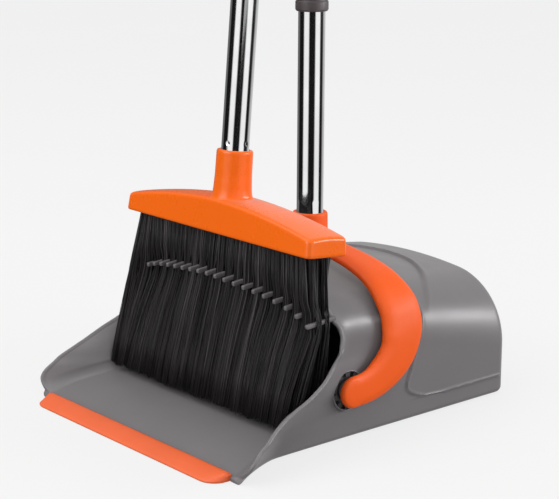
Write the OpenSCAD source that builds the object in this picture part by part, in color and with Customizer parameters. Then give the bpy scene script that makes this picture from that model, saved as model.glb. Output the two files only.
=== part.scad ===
// Long-handled dustpan and broom set: a hooded pan with comb teeth and a swinging
// yoke handle, and an upright broom carried in a clip on the dustpan's pole.
// Millimetres. Z up, floor at 0, the pan's mouth faces -Y.

/* [Pan] */
// Outer half width of the pan at its base
base_hw = 122.5; // [100:0.5:160]
// Distance from the pole axis to the rear wall
rear_y = 142; // [110:1:180]
// Distance from the pole axis to the pan's front edge
front_y = 205; // [170:1:240]
// Crown height of the hood at its front edge
hood_h = 142; // [120:1:170]
// Crown height of the hood at the rear wall
rear_h = 116; // [90:1:140]
// Wall thickness of the pan
wall = 2.8; // [2:0.1:4]
// Height of the ramp behind the lip
ramp_h = 20; // [10:1:30]
// Gap between neighbouring comb teeth, centre to centre
tooth_pitch = 12.4; // [9:0.1:16]
// Width of one comb tooth
tooth_w = 3.8; // [2:0.1:5]

/* [Handle] */
// Outer radius of the steel tubes
tube_r = 12.5; // [9:0.1:16]
// Wall of the steel tubes
tube_t = 1; // [0.4:0.1:2]
// Height of the yoke's pivot above the floor
pivot_z = 47; // [35:1:60]
// Distance of the yoke's pivot in front of the pole axis
pivot_y = 66.5; // [50:0.5:80]
// Radius of the yoke's pivot pegs
peg_r = 6; // [4:0.1:9]
// Top of the yoke's pole socket
socket_z = 176.6; // [165:0.2:190]
// Height of the dustpan's top end
pan_top_z = 950; // [800:5:1100]

/* [Broom] */
// Forward lean of the broom's pole in degrees
lean = 4.8; // [0:0.1:8]
// Length of the brush block
block_l = 262; // [200:1:320]
// Thickness of the brush block front to back
block_t = 46.4; // [36:1:56]
// Half width of the bristle field at its tips
bristle_hw = 121; // [112:1:122]

/* [Hidden] */
pi = 3.14159265;
$fn = 48;
fit = 0.08;
coupler_r = 15.2;
rear_in = rear_y - wall;
root_y = -80;

function clamp(a, lo, hi) = min(hi, max(lo, a));
function sst(a, lo, hi) = let(t = clamp((a - lo) / (hi - lo), 0, 1)) t * t * (3 - 2 * t);
function lerp(a, b, t) = a + (b - a) * t;
function tab(t, x, i = 0) =
    x <= t[0][0] ? t[0][1] :
    i >= len(t) - 1 ? t[len(t) - 1][1] :
    x <= t[i + 1][0] ? lerp(t[i][1], t[i + 1][1], (x - t[i][0]) / (t[i + 1][0] - t[i][0])) :
    tab(t, x, i + 1);

// crown height, crown curvature and top corner radius of the section at y
function hy(y) = hood_h - (hood_h - rear_h) * pow(clamp((y + 83) / (rear_y + 83), 0, 1), 1.15);
function cy(y) = lerp(0.00135, 0.0009, clamp((y + 83) / (rear_y + 83), 0, 1));
corner_tab = [[-90, 40], [-75, 36], [-40, 37], [40, 50], [142, 65]];
function ry(y) = tab(corner_tab, y);
// half width of the section at its base
function wy(y) = base_hw + (front_y - 183) * pow(clamp((-145 - y) / (front_y - 145), 0, 1), 1.3);
// how far the side flares out at its front rim, by height, and how fast the flare fades behind the rim
flare_tab = [[0, 1], [4, 4], [8, 8.5], [12, 12.5], [20, 18], [26, 20], [32, 23.5], [38, 24.7], [44, 26.8], [50, 29.2], [56, 30], [62, 28.8],
    [66, 27.5], [70, 25.6], [74, 23.3], [78, 19.6], [87, 13.4], [97, 8.4], [109, 5.5], [118, 4.2], [126, 2.5], [140, 0]];
fade_tab = [[0, 25], [12, 32], [20, 38], [32, 42], [50, 40], [56, 36], [62, 28], [70, 20], [78, 12], [87, 8], [97, 7], [140, 7]];
// inner floor height at y
floor_tab = [[-205, 3.4], [-185, 10], [-165, 15.5], [-145, ramp_h - 0.8], [-132, ramp_h], [-115, ramp_h - 0.6], [-98, 14], [-80, 6.5], [-66, 4], [200, 4]];
function fy(y) = tab(floor_tab, y);
// front end of the section line at side height z
rim_tab = [[0, -202], [4, -202.4], [8, -202.4], [12, -202], [16, -200.8], [20, -198.5], [26, -193], [32, -185], [38, -176], [44, -165],
    [50, -152], [56, -138.5], [62, -125], [66, -117], [70, -110], [74, -103], [78, -95.5], [87, -84], [97, -78.5], [104, -78], [109, -79], [118, -83], [126, -84]];
function rim(z) = tab(rim_tab, z);

// One section line: kind 0 floor (u = share of the half width), 1 bottom corner (u = angle),
// 2 side (u = share of its height), 3 top corner (u = angle), 4 crown (u = share of the half width).
// d is how far the surface lies inside the outer one, p is the raised rear panel.
rb = 13;
function xs(y, z, d) = wy(y) + 0.03 * max(z - 6, 0) * (1 - clamp((y + 60) / 200, 0, 1))
    + tab(flare_tab, z) * exp(-max(0, y - rim(z)) / tab(fade_tab, z)) - d;
function ztop(y, d) = let(r = max(ry(y) - d, 6), xc = xs(y, 80, d) - r, a = atan(2 * cy(y) * (xc + 8)), xt = xc + r * sin(a))
    [xc, hy(y) - d - cy(y) * xt * xt - r * cos(a), r, a, xt];
function panel(y, z) = 2.4 * sst(y, tab([[18, 60], [21, 27], [34, 8], [51, 13], [102, 30], [116, 31]], z) - 1, tab([[18, 60], [21, 27], [34, 8], [51, 13], [102, 30], [116, 31]], z) + 5) * sst(z, 18, 25) * (1 - sst(y, rear_y - 9, rear_y - 2));
function panel_top(x, y) = let(y0 = tab([[0, 101], [31, 97], [67, 80], [98, 56], [105, 50], [123, 33]], abs(x))) 2.4 * sst(y, y0 - 2, y0 + 4) * (1 - sst(y, rear_y - 9, rear_y - 2));
function lines() = concat(
    [for (u = [0, 0.24, 0.48, 0.7, 0.86]) [0, u]],
    [for (u = [0, 30, 60]) [1, u]],
    [for (u = [0, 0.08, 0.18, 0.3, 0.42, 0.54, 0.64, 0.73, 0.81, 0.9]) [2, u]],
    [for (u = [0, 18, 36, 54, 72]) [3, u]],
    [for (u = [1, 0.72, 0.46, 0.22, 0]) [4, u]]);
LN = lines();
NL = len(LN);
function under(y, ax) = max(0, fy(y) - wall) * sst(wy(y) - ax, 3, 14) * (1 - sst(y, -88, -76));
function pt(l, y, d, p) =
    let(T = ztop(y, d), zc = T[1], zb = d > 0 ? fy(y) : 0, r = d > 0 ? 9 : rb,
        w0 = xs(y, zb + r, d))
    l[0] == 0 ? let(x = l[1] * (w0 - r)) [x, y, d > 0 ? zb : under(y, x)] :
    l[0] == 1 ? [w0 - r + r * sin(l[1]), y, zb + r - r * cos(l[1])] :
    l[0] == 2 ? let(z = lerp(zb + r, zc, l[1])) [xs(y, z, d) + p * panel(y, z), y, z] :
    l[0] == 3 ? let(x = T[0] + T[2] * cos(l[1] * (90 - T[3]) / 90), z = zc + T[2] * sin(l[1] * (90 - T[3]) / 90),
                    k = (xs(y, z, d) - xs(y, 80, d)) * cos(l[1]),
                    q = p * (l[1] < 45 ? panel(y, z) : panel_top(x, y)))
                [x + k + q * cos(l[1]), y, z + q * sin(l[1])] :
    let(x = T[4] * l[1]) [x, y, hy(y) - d - cy(y) * x * x + p * panel_top(x, y)];
// front end of each line, the same for the outer and the inner surface
function lrim(l) =
    l[0] == 0 ? -front_y :
    l[0] == 1 ? -front_y + 3 * pow(l[1] / 90, 2) :
    l[0] == 2 ? rim(lerp(rb, 90, l[1])) :
    l[0] == 3 ? rim(90 + 38 * sin(l[1])) :
    lerp(-84, -86, 1 - l[1] * l[1]);
YO = [-56, -42, -20, 2, 8, 14, 20, 26, 32, 38, 52, 66, 82, 98, 112, 124, rear_y - 7, rear_y - 3.5, rear_y - 1];
YI = [-56, -20, 20, 60, 100, 125, rear_in - 5, rear_in - 1.5];
function fr(n) = [for (i = [0 : n - 1]) i / n];
function ring_y(l, Y, n) = concat([for (t = fr(n)) lerp(lrim(l), -56, t)], Y);
function inset(y, ye) = y > ye - 8 ? 8 - sqrt(max(0, 64 - pow(y - (ye - 8), 2))) : 0;
function shrink(P, k) = k == 0 ? P : let(cx = 0, cz = 60, v = [P[0], 0, P[2] - cz], L = norm(v)) [P[0] - v[0] / L * k, P[1], max(P[2] - v[2] / L * k, P[2] < 20 ? P[2] : 0)];
function half_o(l) = [for (y = ring_y(l, YO, 7)) shrink(pt(l, y, 0, 1), 0.6 * inset(y, rear_y))];
function half_i(l) = [for (y = ring_y(l, YI, 7)) shrink(pt(l, y, wall, 0), 0.6 * inset(y, rear_in))];
function mir(v) = [for (q = v) [-q[0], q[1], q[2]]];
function around(h) = concat(h, [for (i = [NL - 2 : -1 : 1]) mir(h[i])]);
OUT = around([for (l = LN) half_o(l)]);
INN = around([for (l = LN) half_i(l)]);
NK = len(OUT);
NO = len(OUT[0]);
NI = len(INN[0]);
function flat(v) = [for (a = v) for (b = a) b];
function quads(nk, nj, off, flip) = [for (i = [0 : nk - 1]) let(n = (i + 1) % nk) for (j = [0 : nj - 2])
    let(a = off + i * nj + j, b = off + n * nj + j) for (f = flip ? [[a, a + 1, b + 1], [a, b + 1, b]] : [[a, b + 1, a + 1], [a, b, b + 1]]) f];
function cap(nk, nj, off, c, flip) = [for (i = [0 : nk - 1]) let(n = (i + 1) % nk, a = off + i * nj + nj - 1, b = off + n * nj + nj - 1)
    flip ? [a, c, b] : [a, b, c]];
function strip(nk) = [for (i = [0 : nk - 1]) let(n = (i + 1) % nk, a = i * NO, b = n * NO, c = NK * NO + i * NI, e = NK * NO + n * NI)
    for (f = [[a, e, b], [a, c, e]]) f];

// comb tooth tips: x, y, z for the right half
tips = [[0, -124.1, 138.4], [12.4, -124.2, 138.1], [24.8, -123.8, 137.2], [37.2, -123.2, 136.1], [49.6, -122.3, 135], [62, -121.2, 133.8],
        [74.4, -119.8, 132], [86.8, -118.3, 129.5], [99.2, -116.2, 126], [111.6, -114.6, 121], [123.2, -112.6, 113.9]];

module tooth(x, y, z) {
    translate([x - tooth_w / 2, y, z - tooth_w - 0.4]) rotate([5, 0, 0]) cube([tooth_w, -y + root_y + 4, tooth_w]);
}

module pan_body() color([0.45, 0.44, 0.45]) difference() {
    union() {
        polyhedron(points = concat(flat(OUT), flat(INN), [[0, rear_y, 55], [0, rear_in, 55]]),
            faces = concat(quads(NK, NO, 0, false), quads(NK, NI, NK * NO, true), strip(NK),
                cap(NK, NO, 0, NK * (NO + NI), false), cap(NK, NI, NK * NO, NK * (NO + NI) + 1, true)));
        for (s = [-1, 1]) translate([s > 0 ? 121 : -127.4, -pivot_y, pivot_z]) rotate([0, 90, 0]) cylinder(r = 18.5, h = 6.4);
        for (t = tips) { tooth(t[0], t[1], t[2]); if (t[0] > 0) tooth(-t[0], t[1], t[2]); }
    }
    for (s = [-1, 1]) {
        translate([s * 124, -pivot_y, pivot_z]) rotate([0, 90, 0]) cylinder(r = peg_r + fit, h = 20, center = true);
        translate([s > 0 ? 127.4 : -137.4, -pivot_y, pivot_z]) rotate([0, 90, 0]) cylinder(r = 17, h = 10);
    }
}
pan_body();

module pan_lip() color([0.95, 0.45, 0.25]) translate([0, -front_y, 0]) intersection() {
    rotate([0, 90, 0]) translate([0, 0, -150]) linear_extrude(300)
        polygon([[0, 0], [-0.6, -18.6], [-2, -19.6], [-7.2, -4], [-7.4, -1], [-6.6, 1.6], [-3.98, 1.6], [-3.45, 0]]);
    translate([0, 0, -1]) linear_extrude(12) difference() {
        translate([-135, -20]) square([270, 30]);
        for (s = [-1, 1]) difference() {
            translate([s * 135 - 16 - 0.01, -20.01]) square([32.02, 16.01]);
            translate([s * 119, -4]) circle(r = 16);
            translate([s > 0 ? 100 : -119, -30]) square([19, 60]);
        }
    }
}
pan_lip();

// yoke band: outer face x, y, z, half width of the band, lean of its outward normal from upright
yk = [[0, 0, 153, 17, 0], [22, -1, 152.4, 16, 1], [44, -2.8, 150.4, 16, 5], [66, -4.2, 147.6, 17, 11], [86, -6, 144, 18.6, 20], [102, -7.6, 139.4, 19.8, 30],
      [115, -8.2, 132.4, 20.8, 45], [124, -7.2, 123, 21.8, 62], [130.4, -5.4, 112, 22.6, 74], [134, -4.6, 99, 23.4, 83], [136, -6.2, 86, 23.4, 90],
      [136.8, -12.2, 72, 21.6, 90], [137.2, -24.4, 60.2, 19, 90], [137.2, -39, 52.2, 16.8, 90], [137.2, -53.6, 48.2, 15, 90], [137.2, -66.5, 47, 14.4, 90]];
ny = len(yk);
yh = 4.4;
function unit(v) = v / norm(v);
function yc(i) = let(a = yk[i][4]) [yk[i][0] - yh * sin(a), yk[i][1], yk[i][2] - yh * cos(a)];
function yt(i) = unit(yc(min(i + 1, ny - 1)) - (i == 0 ? [-yc(1)[0], yc(1)[1], yc(1)[2]] : yc(i - 1)));
function ysec(i) = let(a = yk[i][4], T = yt(i), N0 = [sin(a), 0, cos(a)], N = unit(N0 - (N0 * T) * T), B = cross(N, T), w = yk[i][3])
    [for (k = [0 : 15]) let(c = cos(k * 22.5 + 11.25), s = sin(k * 22.5 + 11.25))
        yc(i) + B * (w * sign(c) * pow(abs(c), 0.55)) + N * (yh * sign(s) * pow(abs(s), 0.8))];
YR = [for (i = [0 : ny - 1]) ysec(i)];
YALL = concat([for (i = [ny - 1 : -1 : 1]) [for (k = [0 : 15]) let(q = YR[i][k]) [-q[0], q[1], q[2]]]], YR);
YM = concat([for (i = [ny - 1 : -1 : 1]) [for (k = [0 : 15]) let(q = YR[i][(23 - k) % 16]) [-q[0], q[1], q[2]]]], YR);
NYM = len(YM);

module yoke() color([0.95, 0.39, 0.14]) difference() {
    union() {
        polyhedron(points = concat(flat([for (i = [0 : NYM - 1]) [for (k = [0 : 15]) let(q = i < ny - 1 ? YALL[i][k] : YR[i - ny + 1][k]) q]])),
            faces = concat([for (i = [0 : NYM - 2]) for (k = [0 : 15]) let(n = (k + 1) % 16, a = i * 16, b = (i + 1) * 16)
                for (f = [[a + k, b + n, a + n], [a + k, b + k, b + n]]) f],
                [[for (k = [0 : 15]) k]], [[for (k = [15 : -1 : 0]) (NYM - 1) * 16 + k]]));
        for (s = [-1, 1]) {
            translate([s > 0 ? 128.4 : -136.9, -pivot_y, pivot_z]) rotate([0, 90, 0]) cylinder(r = 15.4, h = 8.5);
            translate([s > 0 ? 118.6 : -129, -pivot_y, pivot_z]) rotate([0, 90, 0]) cylinder(r = peg_r, h = 10.4);
        }
        rotate_extrude() polygon([[0, 145], [20, 145], [19, 149], [17.6, 153], [16.9, 158], [16.6, 164], [16.5, socket_z - 1], [15.6, socket_z], [0, socket_z]]);
    }
    translate([0, 0, 150]) cylinder(r = tube_r + 0.05, h = 40);
}
yoke();

module pivot_cap(s) color([0.95, 0.39, 0.14]) translate([s * 118.6, -pivot_y, pivot_z]) rotate([0, -s * 90, 0])
    rotate_extrude() polygon([[0, 0], [9.4, 0], [9.4, 2.4], [8.4, 3.8], [6.5, 4.4], [0, 4.6]]);
pivot_cap(1);  // pivot_cap_right
pivot_cap(-1);  // pivot_cap_left

module tube(z0, z1) rotate_extrude() translate([tube_r - tube_t, z0]) square([tube_t, z1 - z0]);
module coupler(z0, z1, zm) rotate_extrude() polygon([
    [tube_r + 0.05, z0], [14.2, z0], [coupler_r, z0 + 1.4], [coupler_r, z0 + 9], [14.5, z0 + 9.8], [14.5, z0 + 11.2], [coupler_r, z0 + 12],
    [coupler_r, z1 - 1.4], [14.2, z1], [tube_r + 0.05, z1], [tube_r + 0.05, zm + 1.5], [6, zm + 1.5], [6, zm - 1.5], [tube_r + 0.05, zm - 1.5]]);
module grip(z0, z1, zt) difference() {
    rotate_extrude() polygon(concat([[0, zt], [tube_r + 0.05, zt], [tube_r + 0.05, z0], [13.7, z0], [14.8, z0 + 2], [14.8, z0 + 10], [13.9, z0 + 12]],
        [for (i = [0 : 8]) [lerp(13.9, 13.4, sin(i * 22.5)), lerp(z0 + 14, z1 - 34, i / 8)]],
        [[14.4, z1 - 24], [14.6, z1 - 16], [13.8, z1 - 8], [11.6, z1 - 3], [8, z1 - 0.6], [0, z1]]));
    for (s = [-1, 1]) translate([-20, s > 0 ? 9.5 : -29.5, z1 - 30]) cube([40, 20, 40]);
    translate([0, 0, z1 - 15]) rotate([90, 0, 0]) cylinder(r = 5, h = 60, center = true);
}

z_pl = 150;
z_p1 = 386;
z_p2 = 655;
z_pg = 912;
module pan_tube(i) color([0.8, 0.8, 0.82]) tube([z_pl, z_p1 + 1.5, z_p2 + 1.5][i], [z_p1 - 1.5, z_p2 - 1.5, z_pg][i]);
pan_tube(0);  // pan_tube_lower
pan_tube(1);  // pan_tube_middle
pan_tube(2);  // pan_tube_upper
module pan_coupler(z) color([0.3, 0.27, 0.28]) coupler(z - 23, z + 23, z);
pan_coupler(z_p1);  // pan_coupler_lower
pan_coupler(z_p2);  // pan_coupler_upper
module pan_grip() color([0.3, 0.27, 0.28]) grip(825, pan_top_z, z_pg);
pan_grip();

// broom frame: its own z runs up the leaning pole, 0 at the bristle tips
module along() translate([0, -95.5, 180]) rotate([-lean, 0, 0]) translate([0, 0, -155]) children();
by = -(95.5 - (705 - 180) * tan(lean));
sc = 155 + (705 - 180) / cos(lean);

module pole_clip() color([0.95, 0.39, 0.14]) difference() {
    union() {
        translate([0, 0, 680]) cylinder(r = 17, h = 50);
        intersection() {
            along() translate([0, 0, sc - 40]) union() {
                cylinder(r = 17, h = 80);
                translate([-17, -13, 0]) cube([34, 13, 80]);
            }
            translate([-60, -100, 680]) cube([120, 100, 50]);
        }
        translate([-9, by, 680]) cube([18, -by, 50]);
    }
    translate([0, 0, 670]) cylinder(r = tube_r + fit, h = 70);
    along() translate([0, 0, sc - 60]) {
        cylinder(r = tube_r + fit, h = 120);
        translate([-tube_r - fit, -60, 0]) cube([2 * (tube_r + fit), 60, 120]);
    }
    for (z = [670, 716]) translate([-30, by + 22, z]) cube([60, -by - 44, 24]);
}
pole_clip();

// the block's outline seen from above, and its arched top
function arc_top(x) = lerp(32, 17, pow(abs(x) / (block_l / 2), 1.8));
bs = 152;
module broom_block() color([0.95, 0.4, 0.11]) along() difference() {
    union() {
        intersection() {
            translate([0, 1.3, bs - 6]) linear_extrude(60) union() {
                square([block_l - 12, block_t], center = true);
                square([block_l, block_t - 12], center = true);
                for (s = [-1, 1], t = [-1, 1]) translate([s * (block_l / 2 - 6), t * (block_t / 2 - 6)]) circle(r = 6);
            }
            rotate([90, 0, 0]) translate([0, 0, -40]) linear_extrude(80)
                polygon(concat([[block_l / 2, bs - 6], [-block_l / 2, bs - 6]], [for (i = [-12 : 12]) let(x = i * block_l / 24) [x, bs - 6 + arc_top(x)]]));
        }
        rotate_extrude() polygon([[0, bs], [19, bs], [19, bs + 22], [20.5, bs + 25], [18.4, bs + 28], [17, bs + 34], [16.6, bs + 44], [16.6, 218], [15.8, 219], [0, 219]]);
    }
    translate([0, 0, bs + 12]) cylinder(r = tube_r + 0.05, h = 120);
}
broom_block();

// bristle field: one wedge of fibres for each gap between the comb's teeth
bt = bs - 6 - 0.01;
bz = [0, bt * 0.5, bt * 0.79, bt];
bw = [bristle_hw, bristle_hw - 2, bristle_hw - 3.6, bristle_hw - 5];
bf = [31.6, 26.2, 23.6, 21.8];
bb = [20, 15, 12, 12];
gap = 5.4;
module bristles() color([0.12, 0.11, 0.12]) along() difference() {
    polyhedron(points = [for (i = [0 : 3]) for (q = [[-1, -bf[i]], [1, -bf[i]], [1, bb[i]], [-1, bb[i]]]) [q[0] * bw[i], q[1], bz[i]]],
        faces = concat([[0, 1, 2, 3], [15, 14, 13, 12]], [for (i = [0 : 2]) for (k = [0 : 3]) let(a = i * 4 + k, b = i * 4 + (k + 1) % 4)
            for (f = [[a, a + 4, b + 4], [a, b + 4, b]]) f]));
    for (i = [-9 : 9]) translate([i * tooth_pitch - gap / 2, -60, -10]) cube([gap, 120, 136]);
}
bristles();

b1 = 470;
b2 = 740;
b3 = 1000;
b4 = 1276;
module broom_tube(i) color([0.8, 0.8, 0.82]) along() tube([bs + 12, b1 + 1.5, b2 + 1.5, b3 + 1.5][i], [b1 - 1.5, b2 - 1.5, b3 - 1.5, b4][i]);
broom_tube(0);  // broom_tube_1
broom_tube(1);  // broom_tube_2
broom_tube(2);  // broom_tube_3
broom_tube(3);  // broom_tube_4
module broom_coupler(s) color([0.3, 0.27, 0.28]) along() coupler(s - 23, s + 23, s);
broom_coupler(b1);  // broom_coupler_lower
broom_coupler(b2);  // broom_coupler_upper
module broom_mid_grip() color([0.3, 0.27, 0.28]) along() rotate_extrude() polygon(concat([[tube_r + 0.05, 945], [14, 945], [15, 947], [15, 955], [14.2, 957]],
    [for (i = [0 : 10]) [14.2 + 0.5 * (i % 2), lerp(960, 1055, i / 10)]], [[14.2, 1058], [15, 1060], [15, 1068], [14, 1070], [tube_r + 0.05, 1070],
    [tube_r + 0.05, b3 + 1.5], [6, b3 + 1.5], [6, b3 - 1.5], [tube_r + 0.05, b3 - 1.5]]));
broom_mid_grip();
module broom_top_grip() color([0.3, 0.27, 0.28]) along() grip(1195, 1320, b4);
broom_top_grip();
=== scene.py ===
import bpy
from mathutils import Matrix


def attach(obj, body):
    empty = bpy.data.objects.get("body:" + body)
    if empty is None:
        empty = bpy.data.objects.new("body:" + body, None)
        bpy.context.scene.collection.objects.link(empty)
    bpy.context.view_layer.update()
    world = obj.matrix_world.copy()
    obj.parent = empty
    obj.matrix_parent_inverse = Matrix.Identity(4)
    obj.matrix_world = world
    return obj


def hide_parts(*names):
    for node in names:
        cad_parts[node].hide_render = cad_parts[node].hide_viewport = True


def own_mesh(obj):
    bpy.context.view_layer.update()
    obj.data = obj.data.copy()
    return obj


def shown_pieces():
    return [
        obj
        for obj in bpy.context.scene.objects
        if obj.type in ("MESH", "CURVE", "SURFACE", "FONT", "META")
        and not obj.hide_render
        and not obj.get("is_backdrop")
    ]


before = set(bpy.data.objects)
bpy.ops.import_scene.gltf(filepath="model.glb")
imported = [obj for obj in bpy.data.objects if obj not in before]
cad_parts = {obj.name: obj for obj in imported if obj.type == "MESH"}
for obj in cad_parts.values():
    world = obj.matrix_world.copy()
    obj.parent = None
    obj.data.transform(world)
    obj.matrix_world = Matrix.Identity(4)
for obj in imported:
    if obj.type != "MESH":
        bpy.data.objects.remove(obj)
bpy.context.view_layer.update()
import random
from math import acos, asin, atan, atan2, cos, degrees, exp, hypot, pi, radians, sin, sqrt, tan

import bmesh
import bpy
import numpy as np
from mathutils import Matrix, Vector

rng = random.Random(7)
MM = 0.001
scene = bpy.context.scene


# ---------------------------------------------------------------- dimensions, mm
BASE_HW, REAR_Y, FRONT_Y = 122.5, 142.0, 205.0
HOOD_H, REAR_H, WALL, RAMP = 142.0, 116.0, 2.8, 20.0
ROOT_Y = -80.0
REAR_IN = REAR_Y - WALL
PIV_Y, PIV_Z = -66.5, 47.0


def clamp(a, lo, hi):
    return min(hi, max(lo, a))


def lerp(a, b, t):
    return a + (b - a) * t


def sst(a, lo, hi):
    t = clamp((a - lo) / (hi - lo), 0, 1)
    return t * t * (3 - 2 * t)


class Tab:
    """A smooth curve through a table of points that never overshoots them."""

    def __init__(self, pts):
        self.x = [p[0] for p in pts]
        self.y = [p[1] for p in pts]
        n = len(pts)
        d = [(self.y[i + 1] - self.y[i]) / (self.x[i + 1] - self.x[i]) for i in range(n - 1)]
        self.m = [d[0]]
        for i in range(1, n - 1):
            if d[i - 1] * d[i] <= 0:
                self.m.append(0.0)
            else:
                h0, h1 = self.x[i] - self.x[i - 1], self.x[i + 1] - self.x[i]
                w1, w2 = 2 * h1 + h0, h1 + 2 * h0
                self.m.append((w1 + w2) / (w1 / d[i - 1] + w2 / d[i]))
        self.m.append(d[-1])

    def __call__(self, v):
        x, y, m = self.x, self.y, self.m
        if v <= x[0]:
            return y[0]
        if v >= x[-1]:
            return y[-1]
        i = 0
        while v > x[i + 1]:
            i += 1
        h = x[i + 1] - x[i]
        t = (v - x[i]) / h
        t2, t3 = t * t, t * t * t
        return (2 * t3 - 3 * t2 + 1) * y[i] + (t3 - 2 * t2 + t) * h * m[i] + (3 * t2 - 2 * t3) * y[i + 1] + (t3 - t2) * h * m[i + 1]


def hy(y):
    return HOOD_H - (HOOD_H - REAR_H) * clamp((y + 83) / (REAR_Y + 83), 0, 1) ** 1.15


def cy(y):
    return lerp(0.00135, 0.0009, clamp((y + 83) / (REAR_Y + 83), 0, 1))


def ry(y):
    return CORNER(y)


def wy(y):
    return BASE_HW + (FRONT_Y - 183) * clamp((-145 - y) / (FRONT_Y - 145), 0, 1) ** 1.3


CORNER = Tab([(-90, 40), (-75, 36), (-40, 37), (40, 50), (142, 65)])
FLARE = Tab([(0, 1), (4, 4), (8, 8.5), (12, 12.5), (20, 18), (26, 20), (32, 23.5), (38, 24.7), (44, 26.8), (50, 29.2), (56, 30), (62, 28.8), (66, 27.5), (70, 25.6), (74, 23.3), (78, 19.6), (87, 13.4), (97, 8.4), (109, 5.5), (118, 4.2), (126, 2.5), (140, 0)])
FADE = Tab([(0, 25), (12, 32), (20, 38), (32, 42), (50, 40), (56, 36), (62, 28), (70, 20), (78, 12), (87, 8), (97, 7), (140, 7)])
FLOOR = Tab([(-205, 3.4), (-185, 10), (-165, 15.5), (-145, RAMP - 0.8), (-132, RAMP), (-115, RAMP - 0.6), (-98, 14), (-80, 6.5), (-66, 4), (200, 4)])
RIM = Tab([(0, -202), (4, -202.4), (8, -202.4), (12, -202), (16, -200.8), (20, -198.5), (26, -193), (32, -185), (38, -176), (44, -165), (50, -152), (56, -138.5), (62, -125), (66, -117), (70, -110), (74, -103), (78, -95.5), (87, -84), (97, -78.5), (104, -78), (109, -79), (118, -83), (126, -84)])
PAN_Z = Tab([(18, 60), (21, 27), (34, 8), (51, 13), (102, 30), (116, 31)])
PAN_X = Tab([(0, 101), (31, 97), (67, 80), (98, 56), (105, 50), (123, 33)])


def xs(y, z, d):
    side = 0.03 * max(z - 6, 0) * (1 - clamp((y + 60) / 200, 0, 1))
    return wy(y) + side + FLARE(z) * exp(-max(0, y - RIM(z)) / FADE(z)) - d


def ztop(y, d):
    r = max(ry(y) - d, 6)
    xc = xs(y, 80, d) - r
    a = atan(2 * cy(y) * (xc + 8))
    xt = xc + r * sin(a)
    return xc, hy(y) - d - cy(y) * xt * xt - r * cos(a), r, a, xt


# ---------------------------------------------------------------- the broom's own frame
LEAN_B = radians(4.8)
BROOM = Matrix.Translation((0, -95.5, 180)) @ Matrix.Rotation(-LEAN_B, 4, "X") @ Matrix.Translation((0, 0, -155))
IDENT = Matrix.Identity(4)


# ---------------------------------------------------------------- materials
def new_mat(name):
    m = bpy.data.materials.new(name)
    m.use_nodes = True
    nt = m.node_tree
    p = nt.nodes["Principled BSDF"]
    return m, nt, p


def node(nt, kind, **kw):
    n = nt.nodes.new(kind)
    for k, v in kw.items():
        if k in n.inputs:
            n.inputs[k].default_value = v
        else:
            setattr(n, k, v)
    return n


def ramp(nt, fac, stops):
    r = nt.nodes.new("ShaderNodeValToRGB")
    el = r.color_ramp.elements
    while len(el) > 1:
        el.remove(el[-1])
    el[0].position, el[0].color = stops[0][0], (*stops[0][1], 1)
    for pos, col in stops[1:]:
        e = el.new(pos)
        e.color = (*col, 1)
    nt.links.new(fac, r.inputs["Fac"])
    return r.outputs["Color"]


def lin(r, g, b):
    def f(c):
        c /= 255
        return c / 12.92 if c <= 0.04045 else ((c + 0.055) / 1.055) ** 2.4
    return (f(r), f(g), f(b))


def plastic(name, colour, rough=0.36, grain=900, bump=0.05, vary=0.06, coat=0.0, spec=0.5, wave=0.0):
    """Moulded plastic: fine spark texture, slow colour drift, handling marks in the gloss."""
    m, nt, p = new_mat(name)
    tc = node(nt, "ShaderNodeTexCoord")
    slow = node(nt, "ShaderNodeTexNoise", Scale=14.0, Detail=4.0, Roughness=0.6)
    nt.links.new(tc.outputs["Object"], slow.inputs["Vector"])
    lo = tuple(c * (1 - vary) for c in colour)
    hi = tuple(min(1, c * (1 + vary)) for c in colour)
    nt.links.new(ramp(nt, slow.outputs["Fac"], [(0.3, lo), (0.7, hi)]), p.inputs["Base Color"])
    smear = node(nt, "ShaderNodeTexNoise", Scale=46.0, Detail=6.0, Roughness=0.65, Distortion=0.4)
    nt.links.new(tc.outputs["Object"], smear.inputs["Vector"])
    mr = node(nt, "ShaderNodeMapRange")
    mr.inputs["From Min"].default_value = 0.3
    mr.inputs["From Max"].default_value = 0.7
    mr.inputs["To Min"].default_value = rough - 0.025
    mr.inputs["To Max"].default_value = rough + 0.03
    nt.links.new(smear.outputs["Fac"], mr.inputs["Value"])
    nt.links.new(mr.outputs["Result"], p.inputs["Roughness"])
    fine = node(nt, "ShaderNodeTexNoise", Scale=float(grain), Detail=3.0, Roughness=0.55)
    nt.links.new(tc.outputs["Object"], fine.inputs["Vector"])
    b = node(nt, "ShaderNodeBump", Strength=bump, Distance=0.0004)
    nt.links.new(fine.outputs["Fac"], b.inputs["Height"])
    last = b
    if wave:
        sink = node(nt, "ShaderNodeTexNoise", Scale=22.0, Detail=1.0)
        nt.links.new(tc.outputs["Object"], sink.inputs["Vector"])
        b2 = node(nt, "ShaderNodeBump", Strength=wave, Distance=0.002)
        nt.links.new(sink.outputs["Fac"], b2.inputs["Height"])
        nt.links.new(b.outputs["Normal"], b2.inputs["Normal"])
        last = b2
    nt.links.new(last.outputs["Normal"], p.inputs["Normal"])
    p.inputs["Specular IOR Level"].default_value = spec
    p.inputs["Coat Weight"].default_value = coat
    p.inputs["Coat Roughness"].default_value = 0.12
    return m


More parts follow.
